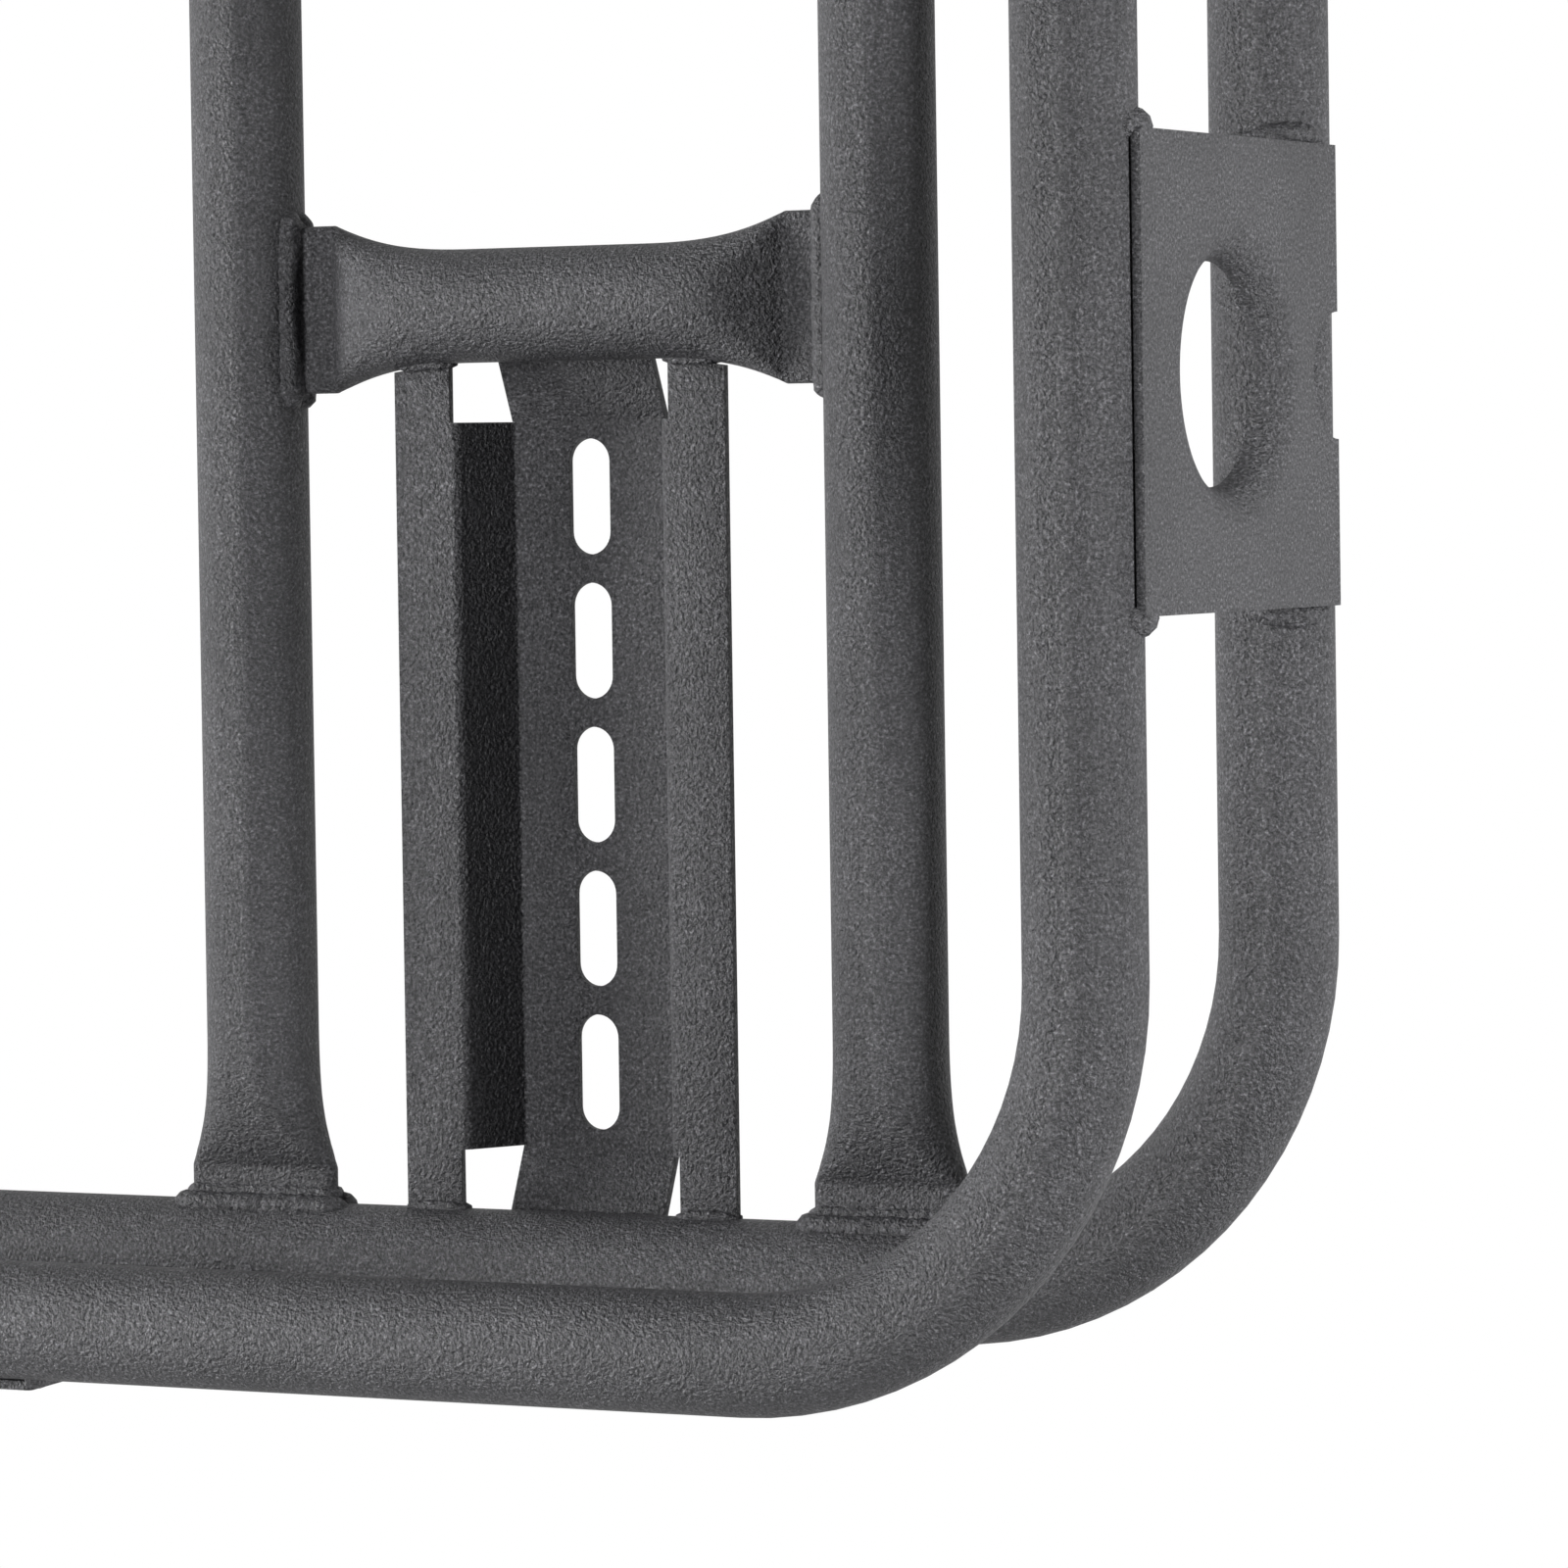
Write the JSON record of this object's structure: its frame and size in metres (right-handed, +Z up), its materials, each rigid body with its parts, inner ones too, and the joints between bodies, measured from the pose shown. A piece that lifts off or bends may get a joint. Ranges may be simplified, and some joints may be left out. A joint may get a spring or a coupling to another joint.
{
  "type": "folding roof luggage basket",
  "caption": "Welded steel-tube roof luggage basket in two halves that fold together, with a raised rim, floor slats and slotted mounting channels.",
  "frame": {"origin": "on the resting plane, under the middle of the basket", "axes": "+X across the vehicle to the right, +Y along it to the rear, +Z up"},
  "size_m": [0.9598, 1.0654, 0.1442],
  "materials": {
    "powder_coat": "fine-textured charcoal powder coat over welded steel",
    "zinc": "bright zinc plate, on the fold hardware only",
    "black_plastic": "black moulded end plugs"
  },
  "bodies": {
    "front_half": {"front_lower_rail": "powder_coat", "front_upper_rail": "powder_coat", "front_slat_1": "powder_coat", "front_slat_2": "powder_coat", "front_slat_3": "powder_coat", "front_slat_4": "powder_coat", "front_slat_5": "powder_coat", "front_slat_6": "powder_coat", "front_middle_tube": "powder_coat", "front_cross_tube_right": "powder_coat", "front_channel_right": "powder_coat", "front_side_plate_right_1": "powder_coat", "front_side_plate_right_2": "powder_coat", "front_end_plate_right": "powder_coat", "front_lower_plug_right": "black_plastic", "front_upper_plug_right": "black_plastic", "front_cross_tube_left": "powder_coat", "front_channel_left": "powder_coat", "front_side_plate_left_1": "powder_coat", "front_side_plate_left_2": "powder_coat", "front_end_plate_left": "powder_coat", "front_lower_plug_left": "black_plastic", "front_upper_plug_left": "black_plastic", "hinge_lug_right_outer": "powder_coat", "hinge_lug_right_inner": "powder_coat", "hinge_bolt_right": "zinc", "hinge_nut_right": "zinc", "hinge_lug_left_outer": "powder_coat", "hinge_lug_left_inner": "powder_coat", "hinge_bolt_left": "zinc", "hinge_nut_left": "zinc"},
    "rear_half": {"rear_lower_rail": "powder_coat", "rear_upper_rail": "powder_coat", "rear_slat_1": "powder_coat", "rear_slat_2": "powder_coat", "rear_slat_3": "powder_coat", "rear_slat_4": "powder_coat", "rear_slat_5": "powder_coat", "rear_slat_6": "powder_coat", "rear_middle_tube": "powder_coat", "rear_cross_tube_right": "powder_coat", "rear_channel_right": "powder_coat", "rear_side_plate_right_1": "powder_coat", "rear_side_plate_right_2": "powder_coat", "rear_end_plate_right": "powder_coat", "rear_lower_plug_right": "black_plastic", "rear_upper_plug_right": "black_plastic", "rear_cross_tube_left": "powder_coat", "rear_channel_left": "powder_coat", "rear_side_plate_left_1": "powder_coat", "rear_side_plate_left_2": "powder_coat", "rear_end_plate_left": "powder_coat", "rear_lower_plug_left": "black_plastic", "rear_upper_plug_left": "black_plastic", "hinge_knuckle_right": "powder_coat", "hinge_knuckle_left": "powder_coat"},
    "lock_sleeve_right": {"lock_sleeve_right": "zinc"},
    "lock_sleeve_left": {"lock_sleeve_left": "zinc"}
  },
  "joints": [
    {"name": "fold", "type": "hinge", "parent": "front_half", "child": "rear_half", "pos_m": [0, 0, 0.1353], "axis": [1, 0, 0], "range_deg": [0, 180]},
    {"name": "lock_slide_right", "type": "slide", "parent": "front_half", "child": "lock_sleeve_right", "axis": [0, 1, 0], "range_m": [0, 0.03]},
    {"name": "lock_slide_left", "type": "slide", "parent": "front_half", "child": "lock_sleeve_left", "axis": [0, 1, 0], "range_m": [0, 0.03]}
  ]
}
